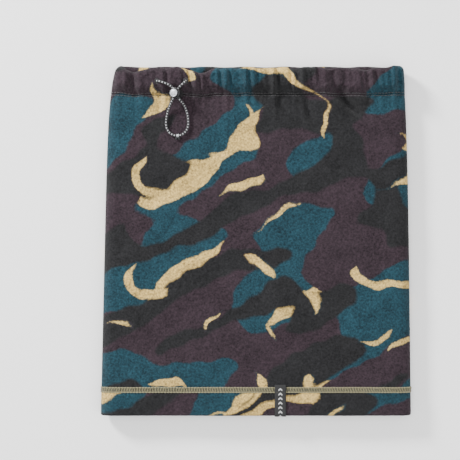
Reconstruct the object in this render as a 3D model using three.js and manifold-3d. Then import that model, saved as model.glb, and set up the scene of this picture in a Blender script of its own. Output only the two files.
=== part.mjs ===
// A fleece neck gaiter laid flat on its back, with its drawcord end towards +Y and its hem towards -Y.
// Millimetres, +Z up. The origin is under the middle of the tube, on the surface that it lies on.
import * as THREE from "three";
import { mergeVertices } from "three/addons/utils/BufferGeometryUtils.js";
import Module from "manifold-3d";

const wasm = await Module();
wasm.setup();

// ---- Driving dimensions ----
const GAP = 0.3; // left between pieces that touch
const LENGTH = 280.6; // from the hem edge to the mouth
const HEM_HALF_WIDTH = 124.8;
const MOUTH_HALF_WIDTH = { left: 112, right: 118.6 };
const SHOULDER = { left: 6.4, right: 3.4 }; // quick flare just under the casing
const SHOULDER_LENGTH = { left: 22, right: 56 };
const FOLD_RADIUS = 10; // side folds, seen along the tube

const CORD_RADIUS = 1.2;
const FLEECE = 2; // one layer of cloth
const HEM_CLOTH = 3; // the hem band's doubled cloth
const BODY_HEIGHT = 15; // outer height of the loosely flattened tube
const HEM_HEIGHT = 15.8;
const PINCH_HEIGHT = 14.4; // where the casing stitches pull the layers together
const CASING_HEIGHT = 19.6;

const CASING_DEPTH = 22.6; // from the mouth to the middle of the casing stitches
const CASING_RISE = 9; // from the stitches to the full bulge of the casing
const PINCH_FALL = 12; // from the stitches back down to the body's own height
const CASING_ROW = 1.1; // from the joint to each stitch row
const CHANNEL = 2 * CORD_RADIUS + 1; // clear height of the cord's channel
const FACING_DEPTH = 2.6; // turned-down layer, below the joint
const MOUTH_ROUND = 4.3; // depth of the rolled mouth edge

const HEM_DEPTH = 20.7; // from the hem edge to the middle of the hem stitching
const HEM_ROUND = 0.8; // softened edge of the hem band
const HEM_STITCH_WIDTH = 4.8;
const THREAD = 0.4;
const THREAD_WIDTH = 0.8;
const THREAD_SINK = 0.1; // stitches lie this far under the cloth's surface
const REBATE = THREAD_SINK + THREAD + GAP;
const REBATE_MARGIN = 0.4;
const LABEL = { x: 19.45, width: 9.1, cloth: 0.5, outerLeg: 24.9, innerLeg: 16 };

// ---- Lines across the tube, centred so that the label's fold and the mouth lie equally far out ----
const MOUTH = (LENGTH + GAP + LABEL.cloth) / 2;
const HEM_EDGE = MOUTH - LENGTH;
const CASING_JOINT = MOUTH - CASING_DEPTH; // between the two rows of casing stitches
const HEM_JOINT = HEM_EDGE + HEM_DEPTH;
const CORD_LINE = CASING_JOINT + 9.5; // the cord's line along the casing
// The tube swells from the body's height to the hem's across the stitching.
const HEM_RAMP = {
  head: HEM_JOINT + HEM_STITCH_WIDTH / 2 + REBATE_MARGIN,
  foot: HEM_JOINT - HEM_STITCH_WIDTH / 2 - REBATE_MARGIN,
};
const SEAM = { width: 3, depth: 0.8, inset: 1 }; // the inset clears the curve of the fold

const CORD_SIDES = 8;
const CORD_STEPS = { casing: 120, loop: 60 };
const EYELET_X = { left: -79, right: -56 };
const EYELET = { bore: CORD_RADIUS + 1.1, wall: 0.4, flange: 4, lip: 0.6, barrel: 1 };
const CORD_BEND = 2.6; // where the cord turns up into an eyelet

const LOCK = {
  tilt: THREE.MathUtils.degToRad(22),
  radius: 4.5,
  wall: 0.75,
  floor: 0.8,
  height: 8.4,
  cordHeight: 5.5, // from the lock's base to the cord's middle
  cordHole: { width: 2 * CORD_RADIUS + 4.6, height: 2 * CORD_RADIUS + 2 * GAP },
  place: new THREE.Vector3(-64, 117.6, 22.7), // where the cord crosses the lock's axis
};
const PLUNGER = { radius: 3.5, base: 2.5, travel: 1.5, pocketRadius: 2.3, pocket: 1, web: 0.5 };
const CAP = { radius: 3.45, edge: 0.5, dome: 0.4 };
const SPRING = { radius: 1.7, wire: 0.18, turns: 3 };
const CRIMP = { length: 3.2, clearance: 0.4, wall: 0.5, x: -62.6, y: 84.1, z: 17.5 };

// ---- Shape of the flattened tube ----
function halfWidth(side, y) {
  const share = (MOUTH - y) / LENGTH;
  const flare = SHOULDER[side] * (1 - Math.exp((y - MOUTH) / SHOULDER_LENGTH[side]));
  return MOUTH_HALF_WIDTH[side] + (HEM_HALF_WIDTH - MOUTH_HALF_WIDTH[side] - SHOULDER[side]) * share + flare;
}

function tubeHeight(y) {
  if (y > CASING_JOINT) {
    const rise = Math.min(1, (y - CASING_JOINT) / CASING_RISE);
    return PINCH_HEIGHT + (CASING_HEIGHT - PINCH_HEIGHT) * Math.sin((rise * Math.PI) / 2) ** 2;
  }
  if (y < HEM_RAMP.head) {
    const ramp = Math.min(1, (HEM_RAMP.head - y) / (HEM_RAMP.head - HEM_RAMP.foot));
    return THREE.MathUtils.lerp(BODY_HEIGHT, HEM_HEIGHT, ramp);
  }
  const fall = Math.min(1, (CASING_JOINT - y) / PINCH_FALL);
  return PINCH_HEIGHT + (BODY_HEIGHT - PINCH_HEIGHT) * Math.sin((fall * Math.PI) / 2) ** 2;
}

// Stations across one layer: round the left fold, over the flat, round the right fold.
const FOLD_STEPS = 6;
const FLAT_STEPS = 8;
function acrossStations() {
  const stations = [];
  for (let i = 0; i <= FOLD_STEPS; i++) stations.push({ fold: "left", turn: i / FOLD_STEPS });
  for (let i = 1; i < FLAT_STEPS; i++) stations.push({ fold: null, share: i / FLAT_STEPS });
  for (let i = FOLD_STEPS; i >= 0; i--) stations.push({ fold: "right", turn: i / FOLD_STEPS });
  return stations;
}

// A point of the cloth: face is "front" or "back", depth is measured inwards from the outer surface.
function clothPoint(face, station, y, depth) {
  const height = tubeHeight(y);
  const seamEdge = GAP / 2;
  const rise = height / 2 - seamEdge - depth;
  const reach = FOLD_RADIUS - depth;
  const left = -halfWidth("left", y) + FOLD_RADIUS;
  const right = halfWidth("right", y) - FOLD_RADIUS;
  let x;
  let lift = rise;
  if (station.fold) {
    const angle = (station.turn * Math.PI) / 2;
    lift = rise * Math.sin(angle);
    x = station.fold === "left" ? left - reach * Math.cos(angle) : right + reach * Math.cos(angle);
  } else {
    x = THREE.MathUtils.lerp(left, right, station.share);
  }
  const z = face === "front" ? height / 2 + seamEdge + lift : height / 2 - seamEdge - lift;
  return new THREE.Vector3(x, y, z);
}

// ---- Solids ----
// Joins a row of rings with equal numbers of points, and closes the two ends.
function loft(rings, outline) {
  const count = outline.length;
  const positions = rings.flat().flatMap((p) => [p.x, p.y, p.z]);
  const indices = [];
  for (let i = 0; i + 1 < rings.length; i++) {
    for (let j = 0; j < count; j++) {
      const a = i * count + j;
      const b = i * count + ((j + 1) % count);
      indices.push(a, b, b + count, a, b + count, a + count);
    }
  }
  const last = (rings.length - 1) * count;
  for (const [a, b, c] of THREE.ShapeUtils.triangulateShape(outline, [])) {
    indices.push(c, b, a, last + a, last + b, last + c);
  }
  const geometry = new THREE.BufferGeometry();
  geometry.setAttribute("position", new THREE.Float32BufferAttribute(positions, 3));
  geometry.setIndex(indices);
  return facingOut(geometry);
}

// Turns a closed surface's faces outwards.
function facingOut(geometry) {
  const p = geometry.getAttribute("position");
  const index = geometry.getIndex();
  const [a, b, c] = [new THREE.Vector3(), new THREE.Vector3(), new THREE.Vector3()];
  let volume = 0;
  for (let i = 0; i < index.count; i += 3) {
    a.fromBufferAttribute(p, index.getX(i));
    b.fromBufferAttribute(p, index.getX(i + 1));
    c.fromBufferAttribute(p, index.getX(i + 2));
    volume += a.dot(b.cross(c));
  }
  if (volume < 0) {
    for (let i = 0; i < index.count; i += 3) {
      const first = index.getX(i);
      index.setX(i, index.getX(i + 2));
      index.setX(i + 2, first);
    }
  }
  return geometry;
}

// A piece of cloth whose outline is drawn along the tube and through its depth, carried across one face.
function acrossTube(face, outline) {
  const rings = acrossStations().map((station) => outline.map((p) => clothPoint(face, station, p.x, p.y)));
  return loft(rings, outline);
}

function band(fromY, toY, fromDepth, toDepth) {
  return [
    new THREE.Vector2(fromY, fromDepth),
    new THREE.Vector2(toY, fromDepth),
    new THREE.Vector2(toY, toDepth),
    new THREE.Vector2(fromY, toDepth),
  ];
}

function toSolid(geometry) {
  const bare = geometry.clone();
  bare.deleteAttribute("normal");
  bare.deleteAttribute("uv");
  const merged = mergeVertices(bare, 1e-4);
  const vertProperties = new Float32Array(merged.getAttribute("position").array);
  const triVerts = new Uint32Array(merged.getIndex().array);
  return new wasm.Manifold(new wasm.Mesh({ numProp: 3, vertProperties, triVerts }));
}

function toGeometry(solid) {
  const mesh = solid.getMesh();
  const geometry = new THREE.BufferGeometry();
  geometry.setAttribute("position", new THREE.Float32BufferAttribute(mesh.vertProperties, mesh.numProp));
  geometry.setIndex([...mesh.triVerts]);
  return geometry;
}

function cut(geometry, ...tools) {
  return toGeometry(tools.reduce((solid, tool) => solid.subtract(toSolid(tool)), toSolid(geometry)));
}

function lathe(points, segments) {
  const profile = points.map(([radius, height]) => new THREE.Vector2(radius, height));
  return new THREE.LatheGeometry(profile, segments).rotateX(Math.PI / 2);
}

function cordTube(points, radius, sides, steps) {
  const section = new THREE.Shape();
  for (let i = 0; i < sides; i++) {
    const angle = (i * 2 * Math.PI) / sides;
    const [x, y] = [radius * Math.cos(angle), radius * Math.sin(angle)];
    if (i === 0) section.moveTo(x, y);
    else section.lineTo(x, y);
  }
  section.closePath();
  const extrudePath = new THREE.CatmullRomCurve3(points, false, "centripetal");
  return new THREE.ExtrudeGeometry(section, { steps, extrudePath });
}

// ---- Cloth ----
function panel(face) {
  const foot = HEM_JOINT + GAP / 2;
  const head = CASING_JOINT - GAP / 2;
  const rowRebate = CASING_JOINT - CASING_ROW - THREAD_WIDTH / 2 - REBATE_MARGIN;
  const pinchStart = CASING_JOINT - PINCH_FALL;
  const flat = [1 / 6, 1 / 3, 1 / 2, 2 / 3, 5 / 6].map((share) => THREE.MathUtils.lerp(foot, pinchStart, share));
  const stations = [...flat, pinchStart, pinchStart + PINCH_FALL / 3, pinchStart + (2 * PINCH_FALL) / 3];
  const outer = [
    new THREE.Vector2(foot, REBATE),
    new THREE.Vector2(HEM_RAMP.head, REBATE),
    new THREE.Vector2(HEM_RAMP.head, 0),
    ...stations.map((y) => new THREE.Vector2(y, 0)),
    new THREE.Vector2(rowRebate, 0),
    new THREE.Vector2(rowRebate, REBATE),
    new THREE.Vector2(head, REBATE),
  ];
  const inner = [head, ...stations.toReversed(), HEM_RAMP.head, foot].map((y) => new THREE.Vector2(y, FLEECE));
  return acrossTube(face, [...outer, ...inner]);
}

function hemBand(face) {
  const head = HEM_JOINT - GAP / 2;
  return acrossTube(face, [
    new THREE.Vector2(HEM_EDGE, HEM_ROUND),
    new THREE.Vector2(HEM_EDGE + HEM_ROUND, 0),
    new THREE.Vector2(HEM_RAMP.foot, 0),
    new THREE.Vector2(HEM_RAMP.foot, REBATE),
    new THREE.Vector2(head, REBATE),
    new THREE.Vector2(head, HEM_CLOTH),
    new THREE.Vector2(HEM_RAMP.foot, HEM_CLOTH),
    new THREE.Vector2(HEM_EDGE + HEM_ROUND, HEM_CLOTH),
    new THREE.Vector2(HEM_EDGE, HEM_CLOTH - HEM_ROUND),
  ]);
}

// The cloth turned over at the mouth: an outer layer, the rolled edge, and a facing that runs back
// down inside. Between them is the channel that the cord runs in.
function casing(face) {
  const foot = CASING_JOINT + GAP / 2;
  const rowRebate = CASING_JOINT + CASING_ROW + THREAD_WIDTH / 2 + REBATE_MARGIN;
  const rollStart = MOUTH - MOUTH_ROUND;
  const full = 2 * FLEECE + CHANNEL;
  const facingTop = FLEECE + GAP;
  const facingEnd = CASING_JOINT - FACING_DEPTH;
  const rises = [1 / 4, 1 / 2, 3 / 4, 1].map((share) => CASING_JOINT + share * CASING_RISE);
  // Depth of the channel's inner wall, pinched to nothing at the stitches.
  const wall = (y) => {
    const rise = Math.min(1, Math.max(0, (y - CASING_JOINT) / CASING_RISE));
    return facingTop + (FLEECE + CHANNEL - facingTop) * Math.sin((rise * Math.PI) / 2) ** 2;
  };
  const roll = (reach, radius) =>
    [1, 2, 3].map((i) => {
      const angle = (i * Math.PI) / 4;
      return new THREE.Vector2(rollStart + reach * Math.sin(angle), full / 2 - radius * Math.cos(angle));
    });
  const point = (y, depth) => new THREE.Vector2(y, depth);
  return acrossTube(face, [
    point(foot, REBATE),
    point(rowRebate, REBATE),
    point(rowRebate, 0),
    ...rises.slice(1).map((y) => point(y, 0)),
    point(rollStart, 0),
    ...roll(MOUTH_ROUND, full / 2),
    point(rollStart, full),
    ...rises.toReversed().map((y) => point(y, wall(y) + FLEECE)),
    point(CASING_JOINT, facingTop + FLEECE),
    point(facingEnd, facingTop + FLEECE),
    point(facingEnd, facingTop),
    point(CASING_JOINT, facingTop),
    ...rises.map((y) => point(y, wall(y))),
    point(rollStart, FLEECE + CHANNEL),
    ...roll(MOUTH_ROUND - FLEECE, CHANNEL / 2).toReversed(),
    point(rollStart, FLEECE),
    ...rises.toReversed().map((y) => point(y, FLEECE)),
    point(foot, FLEECE),
  ]);
}

function frontCasing() {
  const holes = Object.values(EYELET_X).map((x) => {
    const radius = EYELET.bore + EYELET.wall + GAP;
    const hole = new THREE.CylinderGeometry(radius, radius, 4 * FLEECE, 20).rotateX(Math.PI / 2);
    return hole.translate(x, CORD_LINE, CASING_HEIGHT);
  });
  return cut(casing("front"), ...holes);
}

// ---- Stitching and seams ----
function stitchRow(face, y, width) {
  return acrossTube(face, band(y - width / 2, y + width / 2, THREAD_SINK, THREAD_SINK + THREAD));
}

// The seam allowance that runs down inside a side fold.
function sideSeam(side) {
  const outward = side === "left" ? -1 : 1;
  const foot = HEM_JOINT + 1;
  const head = CASING_JOINT - FACING_DEPTH - 1;
  const outline = band(-SEAM.width / 2, SEAM.width / 2, 0, SEAM.depth);
  const rings = [0, 0.2, 0.4, 0.6, 0.8, 0.9, 1].map((share) => {
    const y = THREE.MathUtils.lerp(foot, head, share);
    const x = halfWidth(side, y) - FLEECE - SEAM.inset;
    return outline.map((p) => new THREE.Vector3(outward * (x - p.y), y, tubeHeight(y) / 2 + p.x));
  });
  return loft(rings, outline);
}

// A folded woven label that grips the front hem band: one leg outside, one leg inside the tube.
function hemLabel() {
  const outer = HEM_HEIGHT + GAP;
  const inner = HEM_HEIGHT - HEM_CLOTH - GAP;
  const edge = HEM_EDGE - GAP;
  const outerTop = HEM_EDGE + LABEL.outerLeg;
  const innerTop = HEM_EDGE + LABEL.innerLeg;
  const section = new THREE.Shape();
  section.moveTo(outerTop, outer);
  section.lineTo(outerTop, outer + LABEL.cloth);
  section.lineTo(edge - LABEL.cloth / 2, outer + LABEL.cloth);
  section.lineTo(edge - LABEL.cloth, outer + LABEL.cloth / 2);
  section.lineTo(edge - LABEL.cloth, inner - LABEL.cloth / 2);
  section.lineTo(edge - LABEL.cloth / 2, inner - LABEL.cloth);
  section.lineTo(innerTop, inner - LABEL.cloth);
  section.lineTo(innerTop, inner);
  section.lineTo(edge, inner);
  section.lineTo(edge, outer);
  section.closePath();
  const strip = new THREE.ExtrudeGeometry(section, { depth: LABEL.width, bevelEnabled: false });
  // The section is drawn along the tube and up, so its own axes turn into Y and Z, and its depth into X.
  const turn = new THREE.Matrix4().makeBasis(
    new THREE.Vector3(0, 1, 0),
    new THREE.Vector3(0, 0, 1),
    new THREE.Vector3(1, 0, 0),
  );
  return strip.applyMatrix4(turn).translate(LABEL.x - LABEL.width / 2, 0, 0);
}

// ---- Eyelets and cord ----
function eyelet() {
  const { bore, wall, flange, lip, barrel } = EYELET;
  const bottom = -barrel;
  return lathe(
    [
      [bore, bottom],
      [bore + wall, bottom],
      [bore + wall, GAP],
      [flange, GAP],
      [flange - lip / 2, GAP + lip],
      [bore + lip / 2, GAP + lip],
      [bore, GAP],
      [bore, bottom],
    ],
    20,
  );
}

// The cord inside the casing: in at one eyelet, round the whole mouth, and out at the other.
function casingRun() {
  const depth = FLEECE + CHANNEL / 2;
  const frontZ = CASING_HEIGHT - depth;
  const cordEnd = CASING_HEIGHT - GAP;
  const turnUp = (x, towards) =>
    [0, 1, 2, 3].map((i) => {
      const angle = (i * Math.PI) / 6;
      const back = CORD_BEND * (1 - Math.sin(angle));
      return new THREE.Vector3(x + towards * back, CORD_LINE, frontZ + CORD_BEND * (1 - Math.cos(angle)));
    });
  const fold = (side, face, turns) =>
    turns.map((turn) => clothPoint(face, { fold: side, turn }, CORD_LINE, depth));
  const flat = (z, shares) => {
    const left = -halfWidth("left", CORD_LINE) + FOLD_RADIUS;
    const right = halfWidth("right", CORD_LINE) - FOLD_RADIUS;
    return shares.map((share) => new THREE.Vector3(THREE.MathUtils.lerp(left, right, share), CORD_LINE, z));
  };
  return [
    new THREE.Vector3(EYELET_X.left, CORD_LINE, cordEnd),
    ...turnUp(EYELET_X.left, -1).toReversed(),
    ...fold("left", "front", [1, 0.75, 0.5, 0.25]),
    ...fold("left", "back", [0.25, 0.5, 0.75, 1]),
    ...flat(depth, [0.2, 0.4, 0.6, 0.8]),
    ...fold("right", "back", [1, 0.75, 0.5, 0.25]),
    ...fold("right", "front", [0.25, 0.5, 0.75, 1]),
    ...flat(frontZ, [0.8, 0.6, 0.4]),
    ...turnUp(EYELET_X.right, 1),
    new THREE.Vector3(EYELET_X.right, CORD_LINE, cordEnd),
  ];
}

// The free loop, from the left eyelet through the lock, round the crimp and back to the right eyelet.
const LOOP_ROUTE = [
  [-79, 127.6, 19.7],
  [-78.4, 127.5, 21.2],
  [-77.1, 127.2, 22.3],
  [-75.2, 126.6, 22.9],
  [-72.6, 125.7, 23.1],
  [-69.9, 124.5, 22.8],
  [-67.5, 122.9, 22.1],
  [-66, 121, 21.9],
  [-65.4, 119.4, 22.1],
  [-65.3, 117.6, 22.2],
  [-65.4, 115.7, 22.1],
  [-66, 113.8, 21.9],
  [-67.3, 111.2, 20.7],
  [-69, 107.6, 18.4],
  [-70.6, 103, 16.7],
  [-71.6, 98, 16.4],
  [-71.9, 93.6, 16.4],
  [-71.2, 89.8, 16.5],
  [-69.2, 86.6, 16.9],
  [-66.2, 84.6, 17.4],
  [-62.6, 84.1, 17.5],
  [-59.1, 85, 17.4],
  [-56.2, 87.6, 16.9],
  [-54.5, 91.4, 16.5],
  [-54.2, 96, 16.4],
  [-54.8, 101, 16.6],
  [-56.3, 106, 18],
  [-58.4, 109.8, 20.6],
  [-60.6, 112.2, 22.8],
  [-62, 113.9, 23.5],
  [-62.6, 115.7, 23.3],
  [-62.7, 117.6, 23.2],
  [-62.6, 119.4, 23.3],
  [-62, 121, 23.5],
  [-60.6, 122.8, 23.6],
  [-58.8, 124.6, 23.5],
  [-57.3, 126.1, 22.7],
  [-56.4, 127.1, 21.3],
  [-56, 127.6, 19.7],
].map(([x, y, z]) => new THREE.Vector3(x, y, z));

// A short sleeve that joins the cord's two ends at the bottom of the loop.
function loopCrimp() {
  const bore = CORD_RADIUS + CRIMP.clearance;
  const outside = bore + CRIMP.wall;
  const half = CRIMP.length / 2;
  const ring = lathe(
    [
      [bore, -half],
      [outside, -half],
      [outside, half],
      [bore, half],
      [bore, -half],
    ],
    16,
  );
  return ring.rotateY(Math.PI / 2).translate(CRIMP.x, CRIMP.y, CRIMP.z);
}

// ---- Cord lock, built upright with its base at the origin ----
function lockHousing() {
  const { radius, wall, floor, height, cordHeight, cordHole } = LOCK;
  const edge = 0.7;
  const shell = lathe(
    [
      [0, 0],
      [radius - edge, 0],
      [radius, edge],
      [radius, height - edge],
      [radius - edge / 2, height],
      [radius - wall, height],
      [radius - wall, floor],
      [0, floor],
    ],
    28,
  );
  const hole = new THREE.BoxGeometry(cordHole.width, 4 * radius, cordHole.height);
  return cut(shell, hole.translate(0, 0, cordHeight));
}

function lockPlunger() {
  const slotFloor = PLUNGER.base + PLUNGER.pocket + PLUNGER.web;
  const slotWidth = 4 * CORD_RADIUS + 0.8; // both strands side by side
  const slotHeight = 2 * CORD_RADIUS + PLUNGER.travel + 0.4;
  const top = LOCK.height + PLUNGER.travel - CAP.edge - GAP;
  const core = lathe(
    [
      [0, PLUNGER.base + PLUNGER.pocket],
      [PLUNGER.pocketRadius, PLUNGER.base + PLUNGER.pocket],
      [PLUNGER.pocketRadius, PLUNGER.base],
      [PLUNGER.radius, PLUNGER.base],
      [PLUNGER.radius, top],
      [0, top],
    ],
    24,
  );
  const slot = new THREE.BoxGeometry(slotWidth, 4 * PLUNGER.radius, slotHeight);
  return cut(core, slot.translate(0, 0, slotFloor + slotHeight / 2));
}

function lockCap() {
  const base = LOCK.height + PLUNGER.travel - CAP.edge;
  return lathe(
    [
      [0, base],
      [CAP.radius, base],
      [CAP.radius, base + CAP.edge],
      [CAP.radius * 0.8, base + CAP.edge + CAP.dome * 0.6],
      [CAP.radius * 0.4, base + CAP.edge + CAP.dome * 0.9],
      [0, base + CAP.edge + CAP.dome],
    ],
    24,
  );
}

function lockSpring() {
  const foot = LOCK.floor + SPRING.wire + 0.05;
  const head = PLUNGER.base + PLUNGER.pocket - SPRING.wire - 0.05;
  const count = SPRING.turns * 8;
  const points = [];
  for (let i = 0; i <= count; i++) {
    const angle = (i / 8) * 2 * Math.PI;
    const z = THREE.MathUtils.lerp(foot, head, i / count);
    points.push(new THREE.Vector3(SPRING.radius * Math.cos(angle), SPRING.radius * Math.sin(angle), z));
  }
  return cordTube(points, SPRING.wire, 5, count * 2);
}

// ---- Assembly ----
const CLOTH = { color: 0x4a4c50, roughness: 0.95, metalness: 0 };
const PALE_THREAD = { color: 0xa9a283, roughness: 0.8, metalness: 0 };
const DARK_THREAD = { color: 0x2c2b2e, roughness: 0.8, metalness: 0 };
const ELASTIC = { color: 0x1c1c1e, roughness: 0.7, metalness: 0 };
const BLACK_PLASTIC = { color: 0x161618, roughness: 0.4, metalness: 0 };
const SILVER = { color: 0xd4d6d8, roughness: 0.25, metalness: 0.9 };
const STEEL = { color: 0x9a9c9f, roughness: 0.3, metalness: 1 };
const LABEL_WEAVE = { color: 0x1b1b1d, roughness: 0.75, metalness: 0 };

const gaiter = new THREE.Group();

function add(parent, name, geometry, finish) {
  const mesh = new THREE.Mesh(geometry, new THREE.MeshStandardMaterial(finish));
  mesh.name = name;
  parent.add(mesh);
  return mesh;
}

for (const face of ["front", "back"]) {
  add(gaiter, `${face}_panel`, panel(face), CLOTH);
  add(gaiter, `${face}_hem_band`, hemBand(face), CLOTH);
  add(gaiter, `${face}_hem_stitching`, stitchRow(face, HEM_JOINT, HEM_STITCH_WIDTH), PALE_THREAD);
  const rows = { upper: CASING_JOINT + CASING_ROW, lower: CASING_JOINT - CASING_ROW };
  for (const [row, y] of Object.entries(rows)) {
    add(gaiter, `${face}_casing_stitch_${row}`, stitchRow(face, y, THREAD_WIDTH), DARK_THREAD);
  }
}
add(gaiter, "front_casing", frontCasing(), CLOTH);
add(gaiter, "back_casing", casing("back"), CLOTH);
for (const side of ["left", "right"]) {
  add(gaiter, `side_seam_${side}`, sideSeam(side), DARK_THREAD);
  const ring = add(gaiter, `eyelet_${side}`, eyelet(), BLACK_PLASTIC);
  ring.position.set(EYELET_X[side], CORD_LINE, CASING_HEIGHT);
}
add(gaiter, "hem_label", hemLabel(), LABEL_WEAVE);
add(gaiter, "drawcord_casing_run", cordTube(casingRun(), CORD_RADIUS, CORD_SIDES, CORD_STEPS.casing), ELASTIC);
add(gaiter, "drawcord_loop", cordTube(LOOP_ROUTE, CORD_RADIUS, CORD_SIDES, CORD_STEPS.loop), ELASTIC);
add(gaiter, "loop_crimp", loopCrimp(), BLACK_PLASTIC);

// The lock stands on its base, leaning towards -X, with the cord crossing its axis.
const lock = new THREE.Group();
lock.rotation.y = -LOCK.tilt;
lock.position.set(0, 0, -LOCK.cordHeight).applyEuler(lock.rotation).add(LOCK.place);
gaiter.add(lock);
add(lock, "lock_housing", lockHousing(), BLACK_PLASTIC);
add(lock, "lock_plunger", lockPlunger(), BLACK_PLASTIC);
add(lock, "lock_button_cap", lockCap(), SILVER);
add(lock, "lock_spring", lockSpring(), STEEL);

export default gaiter;
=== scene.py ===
"""A fleece neck gaiter laid flat, with its cloth, stitching, drawcord and cord lock. Metres, +Z up."""

import math

import bpy
import bmesh
import numpy as np
from mathutils import Matrix, Vector


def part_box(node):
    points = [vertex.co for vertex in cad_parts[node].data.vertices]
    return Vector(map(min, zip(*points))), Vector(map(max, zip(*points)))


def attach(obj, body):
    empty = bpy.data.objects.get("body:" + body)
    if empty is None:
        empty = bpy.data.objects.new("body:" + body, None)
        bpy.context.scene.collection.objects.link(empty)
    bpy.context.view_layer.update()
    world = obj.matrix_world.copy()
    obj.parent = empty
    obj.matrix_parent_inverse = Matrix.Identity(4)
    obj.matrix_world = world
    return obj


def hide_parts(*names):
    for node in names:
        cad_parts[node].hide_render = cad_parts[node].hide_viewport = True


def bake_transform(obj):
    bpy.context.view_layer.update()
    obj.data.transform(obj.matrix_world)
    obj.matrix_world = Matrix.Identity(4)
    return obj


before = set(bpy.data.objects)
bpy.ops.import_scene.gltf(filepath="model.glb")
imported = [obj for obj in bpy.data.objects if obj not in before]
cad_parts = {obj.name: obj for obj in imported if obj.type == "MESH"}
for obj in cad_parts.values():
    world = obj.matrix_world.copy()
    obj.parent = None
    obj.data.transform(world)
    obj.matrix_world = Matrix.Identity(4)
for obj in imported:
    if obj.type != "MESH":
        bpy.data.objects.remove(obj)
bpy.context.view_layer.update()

MM = 0.001
SCENE = bpy.context.scene

# ---- Places taken from the frame ----
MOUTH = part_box("back_casing")[1].y
HEM_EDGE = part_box("front_hem_band")[0].y
CASING_JOINT = (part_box("back_casing_stitch_upper")[0].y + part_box("back_casing_stitch_lower")[1].y) / 2
HEM_JOINT = (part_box("front_hem_stitching")[0].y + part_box("front_hem_stitching")[1].y) / 2
HEM_HALF_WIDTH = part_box("front_hem_band")[1].x
BODY_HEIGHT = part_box("front_panel")[1].z
HEM_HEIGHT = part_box("front_hem_band")[1].z
CASING_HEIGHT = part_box("front_casing")[1].z
PINCH_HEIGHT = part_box("front_casing_stitch_lower")[1].z + 0.1 * MM
EYELET = {side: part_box("eyelet_" + side) for side in ("left", "right")}
CORD_LINE = (EYELET["left"][0].y + EYELET["left"][1].y) / 2
EYELET_X = {side: (low.x + high.x) / 2 for side, (low, high) in EYELET.items()}

# ---- Sizes of the cloth, the same as the frame's ----
MOUTH_HALF_WIDTH = {"left": 112 * MM, "right": 118.6 * MM}
SHOULDER = {"left": 6.4 * MM, "right": 3.4 * MM}
SHOULDER_LENGTH = {"left": 22 * MM, "right": 56 * MM}
FOLD_RADIUS = 10 * MM
FLEECE = 2 * MM
HEM_CLOTH = 3 * MM
CHANNEL = 3.4 * MM
CASING_RISE = 9 * MM
PINCH_FALL = 12 * MM
HEM_RAMP = 2.8 * MM
MOUTH_ROUND = 4.3 * MM
FACING_DEPTH = 2.6 * MM
CORD_RADIUS = 1.2 * MM
CORD_BEND = 2.6 * MM
SEAM_GAP = 0.3 * MM

LENGTH = MOUTH - HEM_EDGE


# ---- Shape of the flattened tube ----
def half_width(side, y):
    share = (MOUTH - y) / LENGTH
    flare = SHOULDER[side] * (1 - np.exp(np.minimum(0, y - MOUTH) / SHOULDER_LENGTH[side]))
    return MOUTH_HALF_WIDTH[side] + (HEM_HALF_WIDTH - MOUTH_HALF_WIDTH[side] - SHOULDER[side]) * share + flare


def ease(t):
    """A smooth step from 0 to 1."""
    return np.sin(np.clip(t, 0, 1) * math.pi / 2) ** 2


def bell(distance, width):
    return np.exp(-((distance / width) ** 2))


def flat_edges(y):
    """Where the flat of the cloth ends and its two folds begin, in x."""
    return -half_width("left", y) + FOLD_RADIUS, half_width("right", y) - FOLD_RADIUS


def tube_height(y):
    rise = PINCH_HEIGHT + (CASING_HEIGHT - PINCH_HEIGHT) * ease((y - CASING_JOINT) / CASING_RISE)
    fall = PINCH_HEIGHT + (BODY_HEIGHT - PINCH_HEIGHT) * ease((CASING_JOINT - y) / PINCH_FALL)
    down_ramp = np.clip((HEM_JOINT + HEM_RAMP - y) / (2 * HEM_RAMP), 0, 1)
    hem = BODY_HEIGHT + (HEM_HEIGHT - BODY_HEIGHT) * down_ramp
    return np.where(y > CASING_JOINT, rise, np.where(y > HEM_JOINT + HEM_RAMP, fall, hem))


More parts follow.
